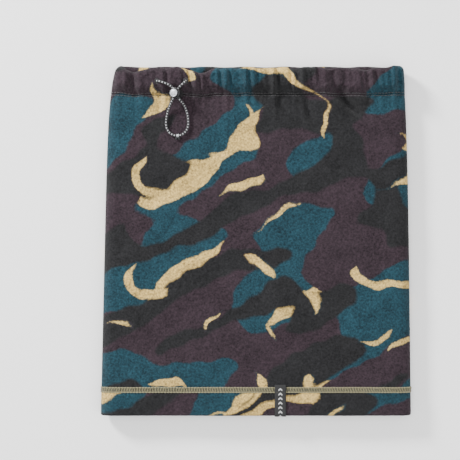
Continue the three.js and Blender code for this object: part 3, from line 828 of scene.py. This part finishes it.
def casing_outline():
    """Outer layer, rolled mouth edge, and the facing inside, round the cord's channel."""
    full = 2 * FLEECE + CHANNEL
    top_of_facing = FLEECE + SEAM_GAP
    roll_start = MOUTH - MOUTH_ROUND
    foot = CASING_JOINT + 0.1 * MM

    def wall(v):
        return top_of_facing + (FLEECE + CHANNEL - top_of_facing) * ease((v - CASING_JOINT) / CASING_RISE)

    rows = np.linspace(foot, roll_start, 20)
    turn = np.linspace(0, math.pi, 13)[1:-1]
    outer = [(foot, 0.0)] + [(v, 0.0) for v in rows[1:]]
    outer += [(roll_start + MOUTH_ROUND * math.sin(a), full / 2 - full / 2 * math.cos(a)) for a in turn]
    outer += [(v, wall(v) + FLEECE) for v in rows[::-1]]
    outer += [(CASING_JOINT - FACING_DEPTH, top_of_facing + FLEECE)]
    inner_reach = MOUTH_ROUND - FLEECE
    inner = [(foot, FLEECE)] + [(v, FLEECE) for v in rows[1:]]
    inner += [(roll_start + inner_reach * math.sin(a), full / 2 - CHANNEL / 2 * math.cos(a)) for a in turn]
    inner += [(v, wall(v)) for v in rows[::-1]]
    inner += [(CASING_JOINT - FACING_DEPTH, top_of_facing)]
    return outer + inner[::-1]


FOLD_LENGTH = 12.5 * MM
GATHER = 1.08  # the casing's length against the length it lies along
FACING_TURN = 8 * MM


def make_cloth(material):
    width = 2 * (HEM_HALF_WIDTH - FOLD_RADIUS) + 2 * FOLD_LENGTH
    casing_width = 2 * (MOUTH - CASING_JOINT) + FACING_TURN
    layers = (
        ("panel", "panel", "printed_fleece", panel_outline(), 1.35 * MM, 10,
         (width, CASING_JOINT - HEM_JOINT), "laid"),
        ("hem", "hem_band", "hem_fleece", hem_outline(), 1.35 * MM, 10,
         (width, HEM_JOINT - HEM_EDGE), "folded"),
        ("casing", "casing", "casing_fleece", casing_outline(), 0.95 * MM, 14,
         (width * GATHER, casing_width), "gathered"),
    )
    for face in ("front", "back"):
        for name, node, slot, outline, flat_step, fold_steps, flat, held in layers:
            piece = cloth_piece(f"{face}_fleece_{name}", face, outline, flat_step, fold_steps)
            stand_for(piece, material, "gaiter", f"{face}_{node}")


# ---- Stitching ----
def surface_path(face, y, depth, step):
    """Points on the cloth's outer surface along one line across the tube."""
    fold, share = stations(step, 12)
    return cloth_point(face, fold, share, np.full(fold.shape, y), np.full(fold.shape, depth))


def stitch_row(face, y, pitch, radius, gap, sink):
    """A row of short stitches, each a bar that dives into the cloth at both ends."""
    path = resample(surface_path(face, y, sink, 1.2 * MM), pitch / 4)
    outward = 1 if face == "front" else -1
    parts = []
    for i in range(0, len(path) - 4, 4):
        run = path[i : i + 5].copy()
        share = np.linspace(0, 1, 5)
        run = run[0] + (run[-1] - run[0]) * (gap + (1 - 2 * gap) * share)[:, None]
        run[:, 2] += outward * radius * (0.9 * np.sin(share * math.pi) - 0.5)
        parts.append(tube(run, radius * np.array([0.55, 0.95, 1.0, 0.95, 0.55]), 6))
    return parts


def rungs(face, y, width, pitch, radius, sink):
    """The looper thread's passes between the two needle rows."""
    low = resample(surface_path(face, y - width / 2, sink, 1.2 * MM), pitch)
    high = resample(surface_path(face, y + width / 2, sink, 1.2 * MM), pitch)
    parts = []
    for start, end in zip(low, high):
        middle = (start + end) / 2
        parts.append(tube([start, middle, end + (0.25 * pitch, 0, 0)], radius * np.array([0.8, 1.0, 0.8]), 5))
    return parts


def under_threads(face, y, sink):
    """Flat threads laid under the looper's passes, painted near-black as painted shade under the passes."""
    parts = []
    for offset in (-0.9, -0.3, 0.3, 0.9):
        line = surface_path(face, y + offset * MM, sink + 0.2 * MM, 1.2 * MM)
        parts.append(tube(line, 0.36 * MM, 6))
    return parts


def make_stitching(pale, dark):
    for face in ("front", "back"):
        rows = []
        lift = -0.3 * MM if face == "front" else 0.55 * MM
        for side in (-1, 1):
            rows += stitch_row(face, HEM_JOINT + side * 1.8 * MM, 2.5 * MM, 0.55 * MM, 0.03, lift)
        rows += rungs(face, HEM_JOINT, 3.4 * MM, 2.1 * MM, 0.34 * MM, lift)
        count = sum(len(points) for points, _ in rows)
        rows += under_threads(face, HEM_JOINT, lift)
        hem = join_parts(face + "_flatlock_seam", rows)
        # Marks the under-threads, which the thread material paints near-black as painted shade under the
        # looper's passes.
        add_values(hem, "painted_shade", (np.arange(len(hem.data.vertices)) >= count).astype(float))
        stand_for(hem, pale, "gaiter", face + "_hem_stitching")
        for name, offset in (("upper", 1.1), ("lower", -1.1)):
            row = stitch_row(face, CASING_JOINT + offset * MM, 2.9 * MM, 0.3 * MM, 0.07, lift + 0.1 * MM)
            piece = join_parts(f"{face}_casing_row_{name}", row)
            stand_for(piece, dark, "gaiter", f"{face}_casing_stitch_{name}")


SEAM_INSET = 1.35 * MM
SEAM_CORE, SEAM_THREAD = 0.5 * MM, 0.17 * MM
SEAM_PITCH, SEAM_SWING, SEAM_LEAN = 0.75 * MM, 1.3 * MM, 0.25 * MM


def make_side_seams(dark):
    """Overlocked seam allowances inside the two folds."""
    for side in ("left", "right"):
        low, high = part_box("side_seam_" + side)
        sign = -1 if side == "left" else 1
        y = np.linspace(low.y, high.y, 120)
        x = sign * (half_width(side, y) - FLEECE - SEAM_INSET)
        core = np.stack([x, y, tube_height(y) / 2], axis=1)
        parts = [tube(core, SEAM_CORE, 8)]
        loops = resample(core, SEAM_PITCH)
        swing = np.where(np.arange(len(loops)) % 2 == 0, 1.0, -1.0)
        loops[:, 2] += swing * SEAM_SWING
        loops[:, 0] -= sign * SEAM_LEAN
        parts.append(tube(loops, SEAM_THREAD, 5))
        piece = join_parts("overlock_seam_" + side, parts)
        stand_for(piece, dark, "gaiter", "side_seam_" + side)


# ---- Eyelets ----
EYELET_STITCHES = 22
EYELET_RADII = (1.5 * MM, 1.9 * MM)
EYELET_RING, EYELET_THREAD = 0.3 * MM, 0.17 * MM
STITCH_SECTION = ((1.25, -0.5), (1.35, 0.25), (1.6, 0.42), (1.95, 0.25), (2.2, -0.3))


def make_eyelets(thread):
    """Small worked eyelets: a ring of radial stitches round each hole."""
    for side, x in EYELET_X.items():
        parts = []
        place = [np.array([v]) for v in (0, eyelet_share(x), CORD_LINE, 0.0)]
        z = min(cloth_point("front", *place)[0][2], EYELET[side][1].z)
        y = CORD_LINE
        across, along = EYELET_RADII
        turn = [i / 32 * 2 * math.pi for i in range(33)]
        ring = [(x + across * math.cos(a), y + along * math.sin(a), z + 0.05 * MM) for a in turn]
        parts.append(tube(ring, EYELET_RING, 8))
        for i in range(EYELET_STITCHES):
            a = i / EYELET_STITCHES * 2 * math.pi
            c, s = math.cos(a), math.sin(a)
            run = [(x + r * MM * c, y + (r + 0.4) * MM * s, z + h * MM) for r, h in STITCH_SECTION]
            parts.append(tube(run, EYELET_THREAD, 5))
        piece = join_parts("worked_eyelet_" + side, parts)
        stand_for(piece, thread, "gaiter", "eyelet_" + side)


def eyelet_share(x):
    left, right = flat_edges(CORD_LINE)
    return (x - left) / (right - left)


# ---- Drawcord ----
LOOP_ROUTE = [
    (-0.0790, 0.1276, 0.0197), (-0.0784, 0.1275, 0.0212), (-0.0771, 0.1272, 0.0223),
    (-0.0752, 0.1266, 0.0229), (-0.0726, 0.1257, 0.0231), (-0.0699, 0.1245, 0.0228),
    (-0.0675, 0.1229, 0.0221), (-0.0660, 0.1210, 0.0219), (-0.0654, 0.1194, 0.0221),
    (-0.0653, 0.1176, 0.0222), (-0.0654, 0.1157, 0.0221), (-0.0660, 0.1138, 0.0219),
    (-0.0673, 0.1112, 0.0207), (-0.0690, 0.1076, 0.0184), (-0.0706, 0.1030, 0.0167),
    (-0.0716, 0.0980, 0.0164), (-0.0719, 0.0936, 0.0164), (-0.0712, 0.0898, 0.0165),
    (-0.0692, 0.0866, 0.0169), (-0.0662, 0.0846, 0.0174), (-0.0626, 0.0841, 0.0175),
    (-0.0591, 0.0850, 0.0174), (-0.0562, 0.0876, 0.0169), (-0.0545, 0.0914, 0.0165),
    (-0.0542, 0.0960, 0.0164), (-0.0548, 0.1010, 0.0166), (-0.0563, 0.1060, 0.0180),
    (-0.0584, 0.1098, 0.0206), (-0.0606, 0.1122, 0.0228), (-0.0620, 0.1139, 0.0235),
    (-0.0626, 0.1157, 0.0233), (-0.0627, 0.1176, 0.0232), (-0.0626, 0.1194, 0.0233),
    (-0.0620, 0.1210, 0.0235), (-0.0606, 0.1228, 0.0236), (-0.0588, 0.1246, 0.0235),
    (-0.0573, 0.1261, 0.0227), (-0.0564, 0.1271, 0.0213), (-0.0560, 0.1276, 0.0197),
]
CORD_SIDES = 20
BRAID_SHARE = 0.88  # of the cord's radius, where the braid's yarns lie


def braided_tube(name, path, length):
    """A round cord along a path, which knows how far along and around it each place lies."""
    cord = make_mesh(name, *tube(path, BRAID_SHARE * CORD_RADIUS, CORD_SIDES))
    add_values(cord, "along", np.repeat(np.linspace(0, length / MM, len(path)), CORD_SIDES))
    add_values(cord, "around", np.tile(np.arange(CORD_SIDES) / CORD_SIDES, len(path)))
    return cord


def casing_route():
    """The cord's way inside the channel, from the left eyelet round the whole mouth to the right one."""
    depth = FLEECE + CHANNEL / 2
    front = surface_path("front", CORD_LINE, depth, 1.2 * MM)
    back = surface_path("back", CORD_LINE, depth, 1.2 * MM)
    out_left = front[front[:, 0] < EYELET_X["left"] - CORD_BEND][::-1]
    home_right = front[front[:, 0] > EYELET_X["right"] + CORD_BEND][::-1]
    ends = []
    for side, near in (("left", out_left[0]), ("right", home_right[-1])):
        top = np.array((EYELET_X[side], CORD_LINE, CASING_HEIGHT - SEAM_GAP))
        foot = np.array((EYELET_X[side], near[1], near[2]))
        ends.append([top, foot + 0.35 * (top - foot) + 0.15 * (near - foot)])
    return np.vstack([ends[0], out_left, back, home_right, ends[1][::-1]])


def make_casing_run(material):
    path = resample(casing_route(), 0.7 * MM)
    run = braided_tube("elastic_casing_run", path, distances(path)[-1])
    stand_for(run, material, "gaiter", "drawcord_casing_run")


def make_loop(material):
    path, length = smooth_path(LOOP_ROUTE, 0.35 * MM)
    cord = braided_tube("elastic_loop", path, length)
    cord.data.materials.append(material)
    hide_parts("drawcord_loop")
    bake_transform(cord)


def make_crimp(metal, tip):
    """A crimped metal sleeve over the cord's joined ends, and the two short tails that leave it."""
    low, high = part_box("loop_crimp")
    centre = (low + high) / 2
    half = 0.62 * (high.x - low.x) / 2
    x = np.linspace(-half, half, 15)
    dents = 1.32 + 0.16 * np.cos(x / half * 1.5 * math.pi) ** 2
    dents[0] = dents[-1] = 1.2
    path = np.stack([centre.x + x, np.full(15, centre.y), np.full(15, centre.z)], axis=1)
    sleeve = make_mesh("loop_sleeve", *tube(path, dents * MM, 20))
    stand_for(sleeve, metal, "loop_end", "loop_crimp")
    parts = []
    for offset, lean in ((-0.75, -0.5), (0.75, 0.6)):
        tail = []
        for t in np.linspace(0, 1, 6):
            away = np.array((offset + lean * t, -(0.9 + 2.5 * t), -0.6 * t)) * MM
            tail.append(np.array(centre) + away)
        parts.append(tube(tail, np.array([0.8, 0.9, 0.92, 0.9, 0.8, 0.45]) * MM, 10))
    tails = join_parts("loop_tails", parts)
    tails.data.materials.append(tip)
    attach(tails, "loop_end")
    return [sleeve, tails]


# ---- Cord lock ----
LOCK_TILT = math.radians(22)
LOCK_RADIUS = 4.5 * MM
LOCK_WALL = 0.75 * MM
LOCK_HEIGHT = 8.4 * MM
LOCK_FLOOR = 0.8 * MM
CORD_HEIGHT = 5.5 * MM
CORD_HOLE = (7 * MM, 3 * MM)
PLUNGER_RADIUS = 3.5 * MM
CAP_RADIUS = 3.1 * MM
PLUNGER_FOOT, PLUNGER_STEP, PLUNGER_TOP = 2.5 * MM, 3.5 * MM, 9.1 * MM
PLUNGER_NECK = 2.3 * MM
CAP_FOOT = 9.4 * MM
SPRING_RADIUS, SPRING_WIRE, SPRING_TURNS = 1.7 * MM, 0.18 * MM, 3
LOCK_CROSSING = Vector((-0.064, 0.1176, 0.0227))


def lock_placement():
    turn = Matrix.Rotation(-LOCK_TILT, 4, "Y")
    return Matrix.Translation(LOCK_CROSSING) @ turn @ Matrix.Translation((0, 0, -CORD_HEIGHT))


def cut_box(piece, size, centre):
    """Cuts a soft-edged box out of a mesh, and applies the cut."""
    made = bmesh.new()
    bmesh.ops.create_cube(made, size=1)
    for v in made.verts:
        v.co = Vector((v.co.x * size[0], v.co.y * size[1], v.co.z * size[2])) + Vector(centre)
    long_edges = [e for e in made.edges if abs(e.verts[0].co.y - e.verts[1].co.y) > size[1] / 2]
    bevel = 0.42 * min(size[0], size[2])
    bmesh.ops.bevel(made, geom=long_edges, offset=bevel, segments=8, affect="EDGES", profile=0.5)
    mesh = bpy.data.meshes.new("cutter")
    made.to_mesh(mesh)
    made.free()
    tool = bpy.data.objects.new("cutter", mesh)
    SCENE.collection.objects.link(tool)
    cut = piece.modifiers.new("cut", "BOOLEAN")
    cut.operation = "DIFFERENCE"
    cut.solver = "EXACT"
    cut.object = tool
    bpy.context.view_layer.update()
    result = bpy.data.meshes.new_from_object(piece.evaluated_get(bpy.context.evaluated_depsgraph_get()))
    piece.modifiers.clear()
    piece.data = result
    bpy.data.objects.remove(tool)
    piece.data.shade_smooth()
    piece.data.set_sharp_from_angle(angle=math.radians(35))


def set_in_lock(piece, material, body, node):
    piece.data.transform(lock_placement())
    piece.data.materials.clear()
    stand_for(piece, material, body, node)


def make_lock(black, silver, steel):
    shell = rounded(
        [(0, 0), (LOCK_RADIUS - 0.3 * MM, 0), (LOCK_RADIUS, 0.9 * MM), (LOCK_RADIUS, 2.2 * MM),
         (LOCK_RADIUS - 0.25 * MM, 2.6 * MM), (LOCK_RADIUS - 0.25 * MM, 3.2 * MM), (LOCK_RADIUS, 3.6 * MM),
         (LOCK_RADIUS, LOCK_HEIGHT - 0.5 * MM), (LOCK_RADIUS - 0.3 * MM, LOCK_HEIGHT),
         (LOCK_RADIUS - LOCK_WALL, LOCK_HEIGHT), (LOCK_RADIUS - LOCK_WALL, LOCK_FLOOR), (0, LOCK_FLOOR)],
        0.25 * MM,
    )
    housing = make_mesh("lock_barrel", *lathe(shell, 64))
    cut_box(housing, (CORD_HOLE[0], 4 * LOCK_RADIUS, CORD_HOLE[1]), (0, 0, CORD_HEIGHT))
    set_in_lock(housing, black, "cord_lock", "lock_housing")

    core = [(0, PLUNGER_STEP), (PLUNGER_NECK, PLUNGER_STEP), (PLUNGER_NECK, PLUNGER_FOOT),
            (PLUNGER_RADIUS, PLUNGER_FOOT), (PLUNGER_RADIUS, PLUNGER_TOP), (0, PLUNGER_TOP)]
    plunger = make_mesh("lock_plunger_core", *lathe(rounded(core, 0.2 * MM), 48))
    cut_box(plunger, (5.6 * MM, 4 * PLUNGER_RADIUS, 4.3 * MM), (0, 0, 6.15 * MM))
    set_in_lock(plunger, black, "lock_button", "lock_plunger")

    top = CAP_FOOT
    dome = [(0, top), (CAP_RADIUS, top), (CAP_RADIUS, top + 0.45 * MM),
            (CAP_RADIUS - 0.3 * MM, top + 0.62 * MM), (CAP_RADIUS - 0.55 * MM, top + 0.5 * MM)]
    for i in range(1, 9):
        a = i / 8 * math.pi / 2
        dome.append(((CAP_RADIUS - 0.55 * MM) * math.cos(a), top + (0.5 + 0.4 * math.sin(a)) * MM))
    dome[-1] = (0, top + 0.9 * MM)
    cap = make_mesh("lock_button_dome", *lathe(rounded(dome, 0.12 * MM), 64))
    set_in_lock(cap, silver, "lock_button", "lock_button_cap")

    coil = []
    steps = SPRING_TURNS * 24
    for i in range(steps + 1):
        a = i / 24 * 2 * math.pi
        height = (1.03 + 2.24 * i / steps) * MM
        coil.append((SPRING_RADIUS * math.cos(a), SPRING_RADIUS * math.sin(a), height))
    spring = make_mesh("lock_coil_spring", *tube(coil, SPRING_WIRE, 10))
    set_in_lock(spring, steel, "cord_lock", "lock_spring")
    return housing


# ---- Label ----
LABEL_LOW, LABEL_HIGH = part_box("hem_label")
LABEL_X = (LABEL_LOW.x + LABEL_HIGH.x) / 2
LABEL_CLOTH = 0.5 * MM


def make_label(material):
    """A strip of woven tape folded over the hem's edge, lying on the cloth outside and in."""
    outer = LABEL_HIGH.z - LABEL_CLOTH / 2
    inner = LABEL_LOW.z + LABEL_CLOTH / 2
    edge = LABEL_LOW.y + LABEL_CLOTH / 2
    top, inside_top = LABEL_HIGH.y, HEM_EDGE + 16 * MM
    middle = (outer + inner) / 2
    half = (outer - inner) / 2
    line = []
    for y in np.linspace(top, edge + half * 0.6, 30):
        line.append((y, outer - 0.25 * MM * ease((y / MM + 118) / 4) + 0.08 * MM * math.sin(y / MM * 0.9)))
    for a in np.linspace(0, math.pi, 15)[1:-1]:
        line.append((edge + half * 0.6 * (1 - math.sin(a)), middle + half * math.cos(a)))
    for y in np.linspace(edge + half * 0.6, inside_top, 20):
        line.append((y, inner))
    line = np.array(line)
    tangent = np.gradient(line, axis=0)
    tangent /= np.linalg.norm(tangent, axis=1)[:, None]
    normal = np.stack([tangent[:, 1], -tangent[:, 0]], axis=1)
    across = np.linspace(LABEL_LOW.x, LABEL_HIGH.x, 12)
    section = [(x, 0.5) for x in across] + [(x, -0.5) for x in across[::-1]]
    points = []
    for (y, z), (ny, nz) in zip(line, normal):
        for x, side in section:
            edge_share = min(x - LABEL_LOW.x, LABEL_HIGH.x - x)
            thick = LABEL_CLOTH * (0.6 if edge_share < 0.1 * MM else 1.0)
            points.append((x, y - ny * side * thick, z - nz * side * thick))
    piece = make_mesh("folded_label", points, strip_faces(len(line), len(section)))
    stand_for(piece, material, "gaiter", "hem_label")


# ---- Floor and light ----
def make_floor():
    size = 3.0
    corners = [(-size, -size, 0), (size, -size, 0), (size, size, 0), (-size, size, 0)]
    floor = make_mesh("floor", corners, [(0, 1, 2, 3)])
    material, _, shader = new_material("pale floor", 0.9)
    shader.inputs["Base Color"].default_value = (0.93, 0.93, 0.93, 1)
    floor.data.materials.append(material)
    floor.location.z = -0.05 * MM


def make_light(name, place, size, power):
    data = bpy.data.lights.new(name, "AREA")
    data.shape = "DISK"
    data.size = size
    data.energy = power
    light = bpy.data.objects.new(name, data)
    light.location = place
    light.rotation_euler = (Vector((0, 0, 0)) - Vector(place)).to_track_quat("-Z", "Y").to_euler()
    SCENE.collection.objects.link(light)


def make_lights():
    make_light("key", (-1.1, 1.0, 0.75), 0.35, 58)
    make_light("fill", (1.0, -0.5, 1.2), 1.2, 10)
    make_light("top", (0, 0, 2.0), 1.6, 34)
    world = bpy.data.worlds.new("studio")
    SCENE.world = world
    world.use_nodes = True
    world.node_tree.nodes["Background"].inputs["Color"].default_value = (1, 1, 1, 1)
    world.node_tree.nodes["Background"].inputs["Strength"].default_value = 0.8


# ---- Build ----
pale_thread = thread_material("pale flatlock thread", PALE_THREAD, 1400)
dark_thread = thread_material("dark sewing thread", DARK_THREAD, 1800)
lock_black = moulded_material("moulded black", (0.008, 0.008, 0.009), 0.4, coat=0.1)
lock_silver = moulded_material("metallised silver", (0.38, 0.39, 0.41), 0.36, metallic=0.6)
spring_steel = moulded_material("drawn spring wire", (0.5, 0.5, 0.52), 0.3, metallic=1.0)
braid = cord_material()

crimp = make_crimp(lock_silver, moulded_material("dipped cord end", CORD_BLACK, 0.8))
barrel = make_lock(lock_black, lock_silver, spring_steel)
make_loop(braid)
make_casing_run(braid)
make_cloth(fleece_material())
make_stitching(pale_thread, dark_thread)
make_side_seams(dark_thread)
make_eyelets(dark_thread)
make_label(label_material())

make_floor()
make_lights()
